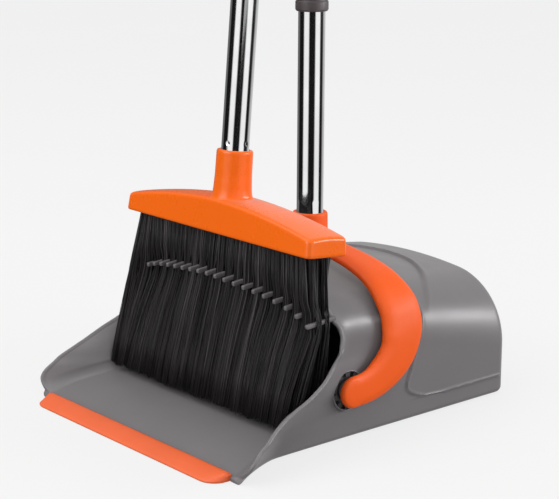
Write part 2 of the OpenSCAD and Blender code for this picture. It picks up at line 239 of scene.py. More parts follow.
GREY = plastic("pan_grey_pp", lin(117, 114, 116), rough=0.37, grain=1300, bump=0.035, vary=0.035, wave=0.02)
TOOTH = plastic("comb_grey_pp", lin(104, 101, 103), rough=0.42, grain=1300, bump=0.03, vary=0.05)
# the pivot seats' dark grey is painted shade of the recess they sit in
SEAT_PAINTED_SHADE = plastic("seat_painted_shade_pp", lin(62, 60, 62), rough=0.5, grain=900, bump=0.08, vary=0.1)
ORANGE = plastic("orange_pp", lin(248, 106, 6), rough=0.28, grain=1500, bump=0.01, vary=0.012, coat=0.1, spec=0.4, wave=0.004)
YOKE_O = plastic("yoke_orange_pp", lin(243, 92, 12), rough=0.5, grain=1500, bump=0.02, vary=0.03, coat=0.0, spec=0.34, wave=0.01)
LIP_O = plastic("lip_orange_tpr", lin(236, 103, 52), rough=0.45, grain=700, bump=0.06, vary=0.04)
DARK = plastic("dark_grey_pp", lin(80, 72, 74), rough=0.42, grain=1000, bump=0.06, vary=0.06)


def chrome():
    m, nt, p = new_mat("polished_steel_tube")
    tc = node(nt, "ShaderNodeTexCoord")
    mp = node(nt, "ShaderNodeMapping")
    mp.inputs["Scale"].default_value = (900, 900, 14)
    nt.links.new(tc.outputs["Object"], mp.inputs["Vector"])
    n = node(nt, "ShaderNodeTexNoise", Scale=1.0, Detail=3.0)
    nt.links.new(mp.outputs["Vector"], n.inputs["Vector"])
    mr = node(nt, "ShaderNodeMapRange")
    mr.inputs["To Min"].default_value = 0.05
    mr.inputs["To Max"].default_value = 0.13
    nt.links.new(n.outputs["Fac"], mr.inputs["Value"])
    nt.links.new(mr.outputs["Result"], p.inputs["Roughness"])
    s = node(nt, "ShaderNodeTexNoise", Scale=30.0, Detail=5.0)
    nt.links.new(tc.outputs["Object"], s.inputs["Vector"])
    nt.links.new(ramp(nt, s.outputs["Fac"], [(0.35, (0.78, 0.78, 0.79)), (0.65, (0.88, 0.88, 0.89))]), p.inputs["Base Color"])
    b = node(nt, "ShaderNodeBump", Strength=0.02, Distance=0.0002)
    nt.links.new(n.outputs["Fac"], b.inputs["Height"])
    nt.links.new(b.outputs["Normal"], p.inputs["Normal"])
    p.inputs["Metallic"].default_value = 1.0
    return m


CHROME = chrome()


def fibre():
    m, nt, p = new_mat("bristle_fibre")
    at = node(nt, "ShaderNodeAttribute", attribute_name="tone_and_sheen")
    # the light grey end of this ramp is painted highlight on single fibres; the dark range is the fibres' own tone
    nt.links.new(ramp(nt, at.outputs["Fac"], [(0.0, lin(24, 22, 24)), (0.7, lin(42, 39, 41)), (1.0, lin(92, 88, 90))]), p.inputs["Base Color"])
    tc = node(nt, "ShaderNodeTexCoord")
    n = node(nt, "ShaderNodeTexNoise", Scale=260.0, Detail=2.0)
    nt.links.new(tc.outputs["Object"], n.inputs["Vector"])
    mr = node(nt, "ShaderNodeMapRange")
    mr.inputs["To Min"].default_value = 0.34
    mr.inputs["To Max"].default_value = 0.56
    nt.links.new(n.outputs["Fac"], mr.inputs["Value"])
    nt.links.new(mr.outputs["Result"], p.inputs["Roughness"])
    p.inputs["Specular IOR Level"].default_value = 0.35
    return m


FIBRE = fibre()


# ---------------------------------------------------------------- mesh helpers (millimetres in)
def build(name, verts, faces, mat, body, slot, hides=(), sharp=38, M=IDENT):
    me = bpy.data.meshes.new(name)
    A = np.array(verts, float)
    if M is not IDENT:
        R = np.array(M.to_3x3())
        A = A @ R.T + np.array(M.translation)
    me.from_pydata((A * MM).tolist(), [], faces)
    me.validate()
    me.update()
    bm = bmesh.new()
    bm.from_mesh(me)
    bmesh.ops.recalc_face_normals(bm, faces=bm.faces)
    bm.to_mesh(me)
    bm.free()
    me.polygons.foreach_set("use_smooth", [True] * len(me.polygons))
    if sharp:
        me.set_sharp_from_angle(angle=radians(sharp))
    ob = bpy.data.objects.new(name, me)
    scene.collection.objects.link(ob)
    if mat:
        me.materials.append(mat)
    if body:
        finish_piece(ob, body, hides)
    return ob


def finish_piece(ob, body, hides=()):
    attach(ob, body)
    if hides:
        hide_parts(*hides)
    return ob


def lathe(profile, n=72, M=IDENT):
    """Closed loop of (r, z) turned about z. A point with r 0 is a pole."""
    verts, faces, ids = [], [], []
    for r, z in profile:
        if r < 1e-6:
            ids.append([len(verts)] * n)
            verts.append((0, 0, z))
        else:
            ids.append(list(range(len(verts), len(verts) + n)))
            verts += [(r * cos(2 * pi * k / n), r * sin(2 * pi * k / n), z) for k in range(n)]
    m = len(profile)
    for i in range(m):
        a, b = ids[i], ids[(i + 1) % m]
        if a[0] == a[1] and b[0] == b[1]:
            continue
        for k in range(n):
            k2 = (k + 1) % n
            f = [a[k], a[k2], b[k2], b[k]]
            g = []
            for q in f:
                if q not in g:
                    g.append(q)
            if len(g) > 2:
                faces.append(g)
    if M is not IDENT:
        verts = [tuple(M @ Vector(v)) for v in verts]
    return verts, faces


def fillet(profile, r, n=4):
    """Rounds each corner of a closed (r, z) loop whose third entry is a radius, or r if there is none."""
    out = []
    m = len(profile)
    for i, q in enumerate(profile):
        rad = q[2] if len(q) > 2 else r
        a, b, c = Vector(profile[i - 1][:2]), Vector(q[:2]), Vector(profile[(i + 1) % m][:2])
        u, v = (a - b), (c - b)
        if rad <= 0 or u.length < 1e-6 or v.length < 1e-6 or q[0] < 1e-6:
            out.append(tuple(b))
            continue
        lu, lv = u.length, v.length
        u.normalize(); v.normalize()
        ang = u.angle(v)
        if ang > pi - 0.05:
            out.append(tuple(b))
            continue
        t = min(rad / tan(ang / 2), lu * 0.48, lv * 0.48)
        rr = t * tan(ang / 2)
        cen = b + (u + v).normalized() * (rr / sin(ang / 2))
        p0, p1 = b + u * t, b + v * t
        a0, a1 = atan2(*(p0 - cen).yx), atan2(*(p1 - cen).yx)
        d = (a1 - a0 + pi) % (2 * pi) - pi
        for k in range(n + 1):
            w = a0 + d * k / n
            out.append((cen.x + rr * cos(w), cen.y + rr * sin(w)))
    return out


def join(parts):
    verts, faces = [], []
    for v, f in parts:
        o = len(verts)
        verts += list(v)
        faces += [[i + o for i in q] for q in f]
    return verts, faces


def modify(ob, kind, name="m", **kw):
    m = ob.modifiers.new(name, kind)
    for k, v in kw.items():
        setattr(m, k, v)
    dg = bpy.context.evaluated_depsgraph_get()
    dg.update()
    me = bpy.data.meshes.new_from_object(ob.evaluated_get(dg))
    mats = [s for s in ob.data.materials]
    ob.modifiers.remove(m)
    old = ob.data
    ob.data = me
    if not me.materials and mats:
        for s in mats:
            me.materials.append(s)
    me.name = ob.name
    bpy.data.meshes.remove(old)
    return ob


def smooth_all(ob, angle=None):
    me = ob.data
    me.polygons.foreach_set("use_smooth", [True] * len(me.polygons))
    if angle:
        me.set_sharp_from_angle(angle=radians(angle))


def cut(ob, tool, op="DIFFERENCE"):
    modify(ob, "BOOLEAN", object=tool, operation=op, solver="EXACT")
    bpy.data.objects.remove(tool)


# ---------------------------------------------------------------- pan
RB_OUT = 5.5


def raised(dist):
    """A raised field with a small bead along its edge, by distance inside the edge."""
    return 1.7 * sst(dist, -1.2, 2.2) + 1.15 * exp(-((dist - 0.6) / 1.7) ** 2)


def panel(y, z):
    y0 = PAN_Z(z)
    g = hypot(1, PAN_Z(z + 0.5) - PAN_Z(z - 0.5))
    return raised(min((y - y0) / g, z - 18.2)) * (1 - sst(y, REAR_Y - 9, REAR_Y - 2))


def panel_top(x, y):
    ax = abs(x)
    g = hypot(1, PAN_X(ax + 0.5) - PAN_X(ax - 0.5))
    return raised((y - PAN_X(ax)) / g) * (1 - sst(y, REAR_Y - 9, REAR_Y - 2))


def under(y, ax):
    return max(0, FLOOR(y) - WALL) * sst(wy(y) - ax, 3, 14) * (1 - sst(y, -88, -76))


def section(kind, u, y, d, p):
    """A point of the pan's section at y. d is the depth inside the outer surface, p the share of the raised panel."""
    xc, zc, rt, al, xt = ztop(y, d)
    zb = FLOOR(y) if d > 0 else 0.0
    r = 9.0 if d > 0 else RB_OUT
    # the inner corner follows the flare at the rim, so the two surfaces never cross there
    b = sst(y, -200, -172) if d > 0 else 1.0
    if kind == 0:
        x = u * (xs(y, zb + r * b, d) - r)
        return (x, y, zb if d > 0 else under(y, x))
    if kind == 1:
        a = radians(u)
        z = zb + r - r * cos(a)
        return (xs(y, lerp(z, zb + r, b), d) - r + r * sin(a), y, z)
    if kind == 2:
        z = lerp(zb + r, zc, u)
        return (xs(y, z, d) + p * panel(y, z), y, z)
    if kind == 3:
        a = radians(u * (90 - degrees(al)) / 90)
        x, z = xc + rt * cos(a), zc + rt * sin(a)
        k = (xs(y, z, d) - xs(y, 80, d)) * cos(radians(u))
        w = sst(u, 30, 60)
        q = p * lerp(panel(y, z), panel_top(x, y), w)
        return (x + k + q * cos(radians(u)), y, z + q * sin(radians(u)))
    x = xt * u
    return (x, y, hy(y) - d - cy(y) * x * x + p * panel_top(x, y))


def line_rim(kind, u):
    if kind == 0:
        return -FRONT_Y
    if kind == 1:
        return -FRONT_Y + 3 * (u / 90) ** 2
    if kind == 2:
        return RIM(lerp(RB_OUT, 90, u))
    if kind == 3:
        return RIM(90 + 38 * sin(radians(u)))
    return lerp(-84, -86, 1 - u * u)


def pan_lines(fine):
    nf, nc, ns, nt, nk = (26, 9, 58, 20, 20) if fine else (18, 6, 40, 14, 14)
    L = [(0, i / nf) for i in range(nf)]
    L += [(1, 90 * i / nc) for i in range(nc)]
    L += [(2, i / ns) for i in range(ns)]
    L += [(3, 90 * i / nt) for i in range(nt)]
    L += [(4, 1 - i / nk) for i in range(nk + 1)]
    return L


def rim_steps(y0, near, mid, ys):
    out = [y0 + s for s in near]
    y1 = out[-1]
    out += [lerp(y1, ys[0], (i + 1) / (mid + 1)) for i in range(mid)]
    return out + ys


def shrink(p, k):
    if k <= 0:
        return p
    vx, vz = p[0], p[2] - 60
    n = hypot(vx, vz) or 1
    return (p[0] - vx / n * k, p[1], max(p[2] - vz / n * k, p[2] if p[2] < 20 else 0))


def inset(y, ye):
    return 8 - sqrt(max(0.0, 64 - (y - (ye - 8)) ** 2)) if y > ye - 8 else 0.0


def pan_shell():
    L = pan_lines(True)
    # the inner lines meet the rim at the same height as the outer ones
    LI = []
    for k, u in L:
        if k == 1:
            y = RIM(RB_OUT)
            u = degrees(acos(1 - clamp((RB_OUT - FLOOR(y)) / 9, 0, 1))) * u / 90
        elif k == 2:
            y = line_rim(k, u)
            z = lerp(RB_OUT, ztop(y, 0)[1], u)
            a = FLOOR(y)
            if z < a + 9:
                k, u = 1, degrees(acos(1 - clamp((z - a) / 9, 0, 1)))
            else:
                u = min(1.0, (z - a - 9) / (ztop(y, WALL)[1] - a - 9))
        LI.append((k, u))
    nearo = [0, 0.6, 1.2, 1.9, 2.7, 3.5, 4.4, 5.6, 7.5]
    YO = [-56 + 2.2 * i for i in range(23)] + [-6 + 1.4 * i for i in range(86)] + [115.5 + 2.5 * i for i in range(8)] + [134.6, 136.5, 138.2, 139.6, 140.7, 141.5]
    YI = [-56 + (REAR_IN - 8 + 56) * i / 34 for i in range(35)] + [REAR_IN - 6, REAR_IN - 4, REAR_IN - 2.2, REAR_IN - 0.8]

    def grid(d, p, ys, mid, ye):
        half = []
        for (k, u), (k0, u0) in zip(LI if d > 0 else L, L):
            row = []
            for y in rim_steps(line_rim(k0, u0), nearo, mid, ys):
                q = section(k, u, y, d, p)
                row.append(shrink(q, 0.6 * inset(y, ye)))
            half.append(row)
        full = half + [[(-x, y, z) for x, y, z in row] for row in half[-2:0:-1]]
        return np.array(full)

    O = grid(0.0, 1.0, YO, 22, REAR_Y)
    I = grid(WALL, 0.0, YI, 14, REAR_IN)

    def normals(G, s):
        a = np.roll(G, -1, 0) - np.roll(G, 1, 0)
        b = np.gradient(G, axis=1)
        n = np.cross(a, b)
        n /= np.linalg.norm(n, axis=2, keepdims=True) + 1e-9
        return n * s

    NOUT = normals(O, 1.0)
    cen = np.array([0, 0, 55.0])
    # outward means away from the middle of the section
    side = np.sign(((O - np.array([0, 1, 0]) * O[..., 1:2] * np.array([0, 1, 0]) - cen) * NOUT).sum(2))
    flip = 1.0 if np.median(side) > 0 else -1.0
    NOUT = NOUT * flip
    # a rolled bead along the walls' rim, on the outside, with a shallow groove behind it
    t = np.array([0, 0.6, 1.2, 1.9, 2.7, 3.5, 4.4, 5.6, 7.5])
    prof = np.array([0.75, 1.0, 1.05, 0.9, 0.5, 0.1, -0.15, -0.1, 0])
    w = np.zeros(len(O))
    half = len(L)
    for i in range(len(O)):
        k, u = L[i] if i < half else L[2 * half - 2 - i]
        z = O[i, 0, 2]
        w[i] = sst(z, 5, 16) if k in (1, 2, 3) else (1.0 if k == 4 else 0.0)
    O[:, : len(t)] += NOUT[:, : len(t)] * (w[:, None] * prof[None, :])[..., None]
    # inner side of the bead
    NI = normals(I, 1.0) * flip
    prof_i = np.array([0.5, 0.55, 0.4, 0.15, 0, 0, 0, 0, 0])
    I[:, : len(t)] -= NI[:, : len(t)] * (w[:, None] * prof_i[None, :])[..., None]
    nk, no, ni = len(O), O.shape[1], I.shape[1]
    verts = [tuple(q) for q in O.reshape(-1, 3)] + [tuple(q) for q in I.reshape(-1, 3)]
    off = nk * no
    faces = []
    for i in range(nk):
        n = (i + 1) % nk
        for j in range(no - 1):
            faces.append([i * no + j, i * no + j + 1, n * no + j + 1, n * no + j])
        for j in range(ni - 1):
            faces.append([off + i * ni + j, off + n * ni + j, off + n * ni + j + 1, off + i * ni + j + 1])
    # rounded rim between the two surfaces
    prev = [i * no for i in range(nk)]
    a0, b0 = O[:, 0], I[:, 0]
    fwd = np.zeros_like(a0)
    tang = np.roll(a0, -1, 0) - np.roll(a0, 1, 0)
    across = b0 - a0
    fwd = np.cross(tang, across)
    fwd /= np.linalg.norm(fwd, axis=1, keepdims=True) + 1e-9
    fwd *= np.sign(-fwd[:, 1:2] + 1e-9)
    fl = 0.85 * w[:, None]
    for s in range(1, 6):
        th = pi * s / 6
        mid = (a0 + b0) / 2 - across / 2 * cos(th) + fwd * sin(th) * np.linalg.norm(across, axis=1, keepdims=True) / 2 * fl
        base = len(verts)
        verts += [tuple(q) for q in mid]
        cur = [base + i for i in range(nk)]
        for i in range(nk):
            n = (i + 1) % nk
            faces.append([prev[i], prev[n], cur[n], cur[i]])
        prev = cur
    cur = [off + i * ni for i in range(nk)]
    for i in range(nk):
        n = (i + 1) % nk
        faces.append([prev[i], prev[n], cur[n], cur[i]])
    # rear walls, filled from ring to ring
    for start, n_in, y, sgn in ((0, no, REAR_Y, 1), (off, ni, REAR_IN, -1)):
        ring = [start + i * n_in + n_in - 1 for i in range(nk)]
        edge = np.array([verts[q] for q in ring])
        mid = np.array([0, y, 55.0])
        for s in (0.97, 0.9, 0.78, 0.62, 0.44, 0.26, 0.1):
            pts = mid + (edge - mid) * s
            pts[:, 1] = y - (0 if s < 0.96 else 0.12)
            base = len(verts)
            verts += [tuple(q) for q in pts]
            nxt = [base + i for i in range(nk)]
            for i in range(nk):
                n = (i + 1) % nk
                faces.append([ring[i], nxt[i], nxt[n], ring[n]])
            ring = nxt
        base = len(verts)
        verts.append(tuple(mid))
        for i in range(nk):
            faces.append([ring[i], base, ring[(i + 1) % nk]])
    return verts, faces


def cyl_tool(M, r, h, n=64):
    v, f = lathe([(0, -h / 2), (r, -h / 2), (r, h / 2), (0, h / 2)], n, M)
    return build("tool", v, f, None, None, None, sharp=0)


def x_axis(x):
    return Matrix.Translation((x, PIV_Y, PIV_Z)) @ Matrix.Rotation(pi / 2, 4, "Y")


pan = build("pan_shell", *pan_shell(), None, None, None, sharp=0)
for s in (1, -1):
    cut(pan, cyl_tool(x_axis(s * 127), 17.9, 22))
smooth_all(pan, 40)
pan.data.materials.append(GREY)
finish_piece(pan, "pan", ["pan_body"])


def bar(p0, p1, wx, h0, h1, tip=1.2):
    """Rounded bar from p0, its tip, to p1: sections of a soft square, closed by a domed tip."""
    verts, faces = [], []
    p0, p1 = np.array(p0, float), np.array(p1, float)
    d = p1 - p0
    L = np.linalg.norm(d)
    d /= L
    sx = np.array([1.0, 0, 0])
    up = np.cross(sx, d)
    up = up if up[2] > 0 else -up
    ts = [(0.0, 0.55), (0.25, 0.78), (0.7, 0.93), (1.4, 1.0)] + [(1.4 + (L - 1.4) * k / 8, 1.0) for k in range(1, 9)]
    n = 20
    for t, sc in ts:
        q = t / L
        flare = 1 + 0.22 * max(0, (q - 0.72) / 0.28) ** 2
        h = lerp(h0, h1, q)
        for k in range(n):
            c, s = cos(2 * pi * k / n), sin(2 * pi * k / n)
            ex = 0.42
            x = abs(c) ** ex * (1 if c > 0 else -1) * wx / 2 * sc * flare
            z = abs(s) ** ex * (1 if s > 0 else -1) * h / 2 * sc
            verts.append(tuple(p0 + d * t + sx * x + up * z))
    m = len(ts)
    for i in range(m - 1):
        for k in range(n):
            k2 = (k + 1) % n
            faces.append([i * n + k, i * n + k2, (i + 1) * n + k2, (i + 1) * n + k])
    a = len(verts)
    verts.append(tuple(p0 - d * 0.12))
    verts.append(tuple(p1))
    for k in range(n):
        k2 = (k + 1) % n
        faces.append([a, k2, k])
        faces.append([a + 1, (m - 1) * n + k, (m - 1) * n + k2])
    return verts, faces


TIPS = [(0, -124.1, 138.4), (12.4, -124.2, 138.1), (24.8, -123.8, 137.2), (37.2, -123.2, 136.1), (49.6, -122.3, 135.0), (62, -121.2, 133.8),
        (74.4, -119.8, 132.0), (86.8, -118.3, 129.5), (99.2, -116.2, 126.0), (111.6, -114.6, 121.0), (123.2, -112.6, 113.9)]
bars = []
for x, y, z in TIPS:
    for s in ((1, -1) if x else (1,)):
        yr = -80.5
        bars.append(bar((s * x, y, z - 2.3), (s * x, yr, z - 2.3 + tan(radians(5)) * (yr - y)), 3.8, 4.0, 4.0))
build("comb_teeth", *join(bars), TOOTH, "pan", "pan_grey", sharp=0)

# keyed pivot seats, set back in the side walls, coloured dark grey as painted shade of the recess
for s, side in ((1, "right"), (-1, "left")):
    M = x_axis(0)
    prof = fillet([(6.6, s * 121.6), (18.8, s * 121.6), (18.8, s * 123.4), (9.6, s * 123.4), (9.6, s * 126.4), (6.6, s * 126.4)], 0.25, 3)
    parts = [lathe(prof, 96, M)]
    for k in range(10):
        a = 2 * pi * k / 10 + 0.31
        a0, a1 = a - 0.17, a + 0.17
        v = []
        for x in (s * 123.2, s * 126.6):
            for r, w in ((12.6, a0), (17.6, a0), (17.6, a), (17.6, a1), (12.6, a1), (12.6, a)):
                v.append((x, PIV_Y + r * cos(w), PIV_Z + r * sin(w)))
        f = [[5, 4, 3, 2, 1, 0], [6, 7, 8, 9, 10, 11]] + [[i, (i + 1) % 6, 6 + (i + 1) % 6, 6 + i] for i in range(6)]
        parts.append((v, f))
    build("pivot_seat_" + side, *join(parts), SEAT_PAINTED_SHADE, "pan", "pan_grey", sharp=35)
    # rounded collar that lines the opening in the pan's side
    ring = fillet([(17.1, s * 121.0), (18.4, s * 121.0), (18.4, s * 127.6, 0.5), (17.8, s * 128.3, 0.5), (17.1, s * 127.9, 0.4)], 0.3, 3)
    build("pivot_collar_" + side, *lathe(ring, 96, M), GREY, "pan", "pan_grey", sharp=35)


# ---------------------------------------------------------------- lip
def lip():
    xsn = [-135, -134.9, -134.6, -134, -133, -131.5, -129.5, -127, -124, -121, -119, -116]
    X = xsn + [(-116 + 232 * i / 60) for i in range(1, 60)] + [-x for x in reversed(xsn)]

    def prof(x):
        ax = abs(x)
        d = 19.6 if ax <= 119 else 4 + sqrt(max(0.0, 246 - (ax - 119) ** 2)) * 0.99
        e = sst(135.0 - ax, 0, 2.2)
        top = lerp(5.6, 7.3, e)
        pts = [(0.0, 3.45), (1.5, 3.98), (1.75, 4.9), (1.5, lerp(5.6, 6.5, e)), (0.6, top - 0.15), (-0.8, top), (-2.4, top - 0.15)]
        nose = 1.0 + 0.35
        for k in range(1, 8):
            q = k / 8
            y = lerp(-2.4, -d + 1.3, q)
            pts.append((y, lerp(top - 0.15, 2.2, q) + 0.5 * sin(pi * q)))
        for k in range(7):
            a = radians(90 + 40 + 28 * k)
            pts.append((-d + 1.0 + 0.95 * cos(a) * 1.0, 1.1 + 1.0 * sin(a)))
        pts += [(-d + 2.2, 0.05), (-d * 0.5, 0.0), (-1.0, 0.0), (0.0, 0.15)]
        return pts

    verts, faces = [], []
    m = len(prof(0))
    for x in X:
        ax = abs(x)
        pull = 1 - sst(ax, 134.0, 135.0) * 0.12
        cz = 3.0
        for y, z in prof(x):
            verts.append((x, -FRONT_Y + y, cz + (z - cz) * pull))
    for i in range(len(X) - 1):
        for k in range(m):
            k2 = (k + 1) % m
            faces.append([i * m + k, i * m + k2, (i + 1) * m + k2, (i + 1) * m + k])
    faces.append(list(range(m)))
    faces.append([(len(X) - 1) * m + k for k in reversed(range(m))])
    return verts, faces


build("sweeping_lip", *lip(), LIP_O, "pan", "lip_orange", ["pan_lip"], sharp=40)


# ---------------------------------------------------------------- yoke
YK = [(0, 0, 153, 17, 0), (22, -1, 152.4, 16, 1), (44, -2.8, 150.4, 16, 5), (66, -4.2, 147.6, 17, 11), (86, -6, 144, 18.6, 20), (102, -7.6, 139.4, 19.8, 30),
      (115, -8.2, 132.4, 20.8, 45), (124, -7.2, 123, 21.8, 62), (130.4, -5.4, 112, 22.6, 74), (134, -4.6, 99, 23.4, 83), (136, -6.2, 86, 23.4, 90),
      (136.8, -12.2, 72, 21.6, 90), (137.2, -24.4, 60.2, 19, 90), (137.2, -39, 52.2, 16.8, 90), (137.2, -53.6, 48.2, 15, 90), (137.2, -66.5, 47, 14.4, 90)]


def catmull(P, sub):
    P = np.array(P, float)
    first = P[1].copy()
    first[0] *= -1
    first[4] *= -1
    Q = np.vstack([first, P, 2 * P[-1] - P[-2]])
    out = []
    for i in range(1, len(Q) - 2):
        for k in range(sub):
            t = k / sub
            a, b, c, d = Q[i - 1], Q[i], Q[i + 1], Q[i + 2]
            out.append(0.5 * (2 * b + (c - a) * t + (2 * a - 5 * b + 4 * c - d) * t * t + (3 * b - a - 3 * c + d) * t ** 3))
    out.append(Q[-2])
    return np.array(out)


def thick(q):
    return 4.4 if q[2] > 100 else lerp(4.4, 2.9, sst(-q[1], 30, 52))


def yoke_sweep():
    half, m = catmull(YK, 5), 36
    # the band thins towards its ends, which stand clear of the pan
    cen = []
    for q in half:
        a = radians(q[4])
        yh = thick(q)
        cen.append(np.array([q[0] - yh * sin(a), q[1], q[2] - yh * cos(a)]))
    rows = []
    for i, q in enumerate(half):
        p = cen[i - 1] if i else cen[1] * np.array([-1, 1, 1])
        T = cen[min(i + 1, len(cen) - 1)] - p
        T /= np.linalg.norm(T)
        a = radians(q[4])
        N0 = np.array([sin(a), 0, cos(a)])
        N = N0 - (N0 @ T) * T
        N /= np.linalg.norm(N)
        B = np.cross(N, T)
        yh = thick(q)
        row = []
        for k in range(m):
            c, s = cos(2 * pi * k / m), sin(2 * pi * k / m)
            b = q[3] * abs(c) ** 0.5 * (1 if c > 0 else -1)
            if s >= 0:
                n = (yh + 2.2 * (1 - c * c) - 0.9) * s ** 0.6
            else:
                n = -(yh - 0.2) * abs(s) ** 0.45
            row.append(cen[i] + B * b + N * n)
        rows.append(np.array(row))
    mirror = [r * np.array([-1, 1, 1]) for r in rows[:0:-1]]
    # the mirrored half runs the other way round, so its points are taken in the mirrored order
    idx = [(m // 2 - k) % m for k in range(m)]
    mirror = [r[idx] for r in mirror]
    R = mirror + rows
    verts = [tuple(p) for r in R for p in r]
    faces = []
    for i in range(len(R) - 1):
        for k in range(m):
            k2 = (k + 1) % m
            faces.append([i * m + k, i * m + k2, (i + 1) * m + k2, (i + 1) * m + k])
    faces.append(list(range(m)))
    faces.append([(len(R) - 1) * m + k for k in reversed(range(m))])
    return verts, faces


def yoke_piece():
    parts = [yoke_sweep()]
    for s in (1, -1):
        disc = fillet([(0, s * 129), (9.4, s * 129, 0.6), (9.4, s * 131.4, 0.4), (14.3, s * 131.6, 1.6), (14.3, s * 137.2, 3.4), (8, s * 138.2, 4), (0, s * 138.3)], 1.6, 5)
        parts.append(lathe(disc, 96, x_axis(0)))
        parts.append(lathe([(0, s * 118.6), (6, s * 118.6), (6, s * 130), (0, s * 130)], 64, x_axis(0)))
    sock = fillet([(0, 145.5), (20.5, 145.5, 1), (20.2, 149.5, 2), (18.0, 154, 5), (17.0, 160, 5), (16.7, 175.2, 0.8), (15.7, 176.6, 0.6), (0, 176.6)], 0.8, 4)
    parts.append(lathe(sock, 96))
    ob = build("yoke_body", *join(parts), None, None, None, sharp=0)
    modify(ob, "REMESH", mode="VOXEL", voxel_size=0.00078)
    modify(ob, "SMOOTH", factor=0.5, iterations=9)
    v, f = lathe([(0, 149.5), (12.58, 149.5), (12.58, 175.4), (13.3, 176.3), (13.3, 190), (0, 190)], 96)
    cut(ob, build("tool", v, f, None, None, None, sharp=0))
    smooth_all(ob, 42)
    ob.data.materials.append(YOKE_O)
    finish_piece(ob, "handle", ["yoke"])


yoke_piece()

for s, side in ((1, "right"), (-1, "left")):
    M = Matrix.Translation((s * 118.6, PIV_Y, PIV_Z)) @ Matrix.Rotation(-s * pi / 2, 4, "Y")
    cap = build("cap", *lathe(fillet([(0, 0.02), (9.4, 0.02), (9.4, 2.2), (8.2, 3.9, 1.6), (6.4, 4.4, 0.5), (6.0, 3.9, 0.3), (0, 4.1)], 0.4, 4), 80, M), None, None, None, sharp=0)
    for turn in (0, pi / 2):
        T = M @ Matrix.Rotation(turn, 4, "Z")
        v = [T @ Vector((x, y, z)) for z in (2.4, 6) for x, y in ((-3.4, -0.7), (3.4, -0.7), (3.4, 0.7), (-3.4, 0.7))]
        f = [[3, 2, 1, 0], [4, 5, 6, 7]] + [[k, (k + 1) % 4, 4 + (k + 1) % 4, 4 + k] for k in range(4)]
        cut(cap, build("tool", [tuple(q) for q in v], f, None, None, None, sharp=0))
    smooth_all(cap, 35)
    cap.name = "pivot_cap_visual_" + side
    cap.data.materials.append(YOKE_O)
    finish_piece(cap, "handle", ["pivot_cap_" + side])


# ---------------------------------------------------------------- tubes, couplers, grips
def tube(name, z0, z1, body, node_name, M=IDENT, dents=()):
    n = 120
    zs = [z0, z0 + 0.3]
    zc = {round(d[0], 2) for d in dents}
    z = z0 + 0.3
    while z < z1 - 0.3:
        near = any(abs(z - q) < 7 for q in zc)
        z += 0.5 if near else 12
        zs.append(min(z, z1 - 0.3))
    zs.append(z1)
    outer = [(12.5 if 0 < i < len(zs) - 1 else 12.35, q) for i, q in enumerate(zs)]
    inner = [(11.6, z1), (11.5, z1 - 0.3), (11.5, z0 + 0.3), (11.6, z0)]
    verts, faces = lathe(outer + inner, n)
    out = []
    for x, y, q in verts:
        r = hypot(x, y)
        if r > 12:
            for zd, az in dents:
                if abs(q - zd) < 8:
                    w = atan2(x, -y) - radians(az)
                    w = (w + pi) % (2 * pi) - pi
                    dd = ((w * 12.5) / 1.3) ** 2 + ((q - zd) / 1.3) ** 2
                    k = 1 - (0.55 * exp(-dd / 2)) / r
                    x, y = x * k, y * k
        out.append((x, y, q))
    if M is not IDENT:
        out = [tuple(M @ Vector(v)) for v in out]
    build(name, out, faces, CHROME, body, "steel_tube", [node_name], sharp=50)


D0 = [(186, a) for a in (71.9, -17.6, 161.9, -107.6)]
D1 = [(226.5, a) for a in (17.4, 101.4, -162.6, -78.6)]
tube("steel_pan_lower", 150, 384.5, "handle", "pan_tube_lower", dents=D0)
tube("steel_pan_middle", 387.5, 653.5, "handle", "pan_tube_middle")
tube("steel_pan_upper", 656.5, 912, "handle", "pan_tube_upper")
tube("steel_broom_1", 164, 468.5, "broom", "broom_tube_1", BROOM, D1)
tube("steel_broom_2", 471.5, 738.5, "broom", "broom_tube_2", BROOM)
tube("steel_broom_3", 741.5, 998.5, "broom", "broom_tube_3", BROOM)
tube("steel_broom_4", 1001.5, 1276, "broom", "broom_tube_4", BROOM)


def coupler(name, zm, body, node_name, M=IDENT):
    z0, z1 = zm - 23, zm + 23
    p = [(12.55, z0), (14.1, z0, 0.5), (15.2, z0 + 1.6, 0.8), (15.2, z0 + 8.8, 0.4), (14.4, z0 + 9.6, 0.3), (14.4, z0 + 11.4, 0.3), (15.2, z0 + 12.2, 0.4),
         (15.2, zm - 0.8, 0.2), (14.75, zm, 0.1), (15.2, zm + 0.8, 0.2),
         (15.2, z1 - 12.2, 0.4), (14.4, z1 - 11.4, 0.3), (14.4, z1 - 9.6, 0.3), (15.2, z1 - 8.8, 0.4), (15.2, z1 - 1.6, 0.8), (14.1, z1, 0.5), (12.55, z1), (12.55, zm + 1.45), (6, zm + 1.45), (6, zm - 1.45), (12.55, zm - 1.45)]
    build(name, *lathe(fillet(p, 0, 3), 96, M), DARK, body, "dark_grey", [node_name], sharp=35)


coupler("joint_sleeve_pan_lower", 386, "handle", "pan_coupler_lower")
coupler("joint_sleeve_pan_upper", 655, "handle", "pan_coupler_upper")
coupler("joint_sleeve_broom_lower", 470, "broom", "broom_coupler_lower", BROOM)
coupler("joint_sleeve_broom_upper", 740, "broom", "broom_coupler_upper", BROOM)


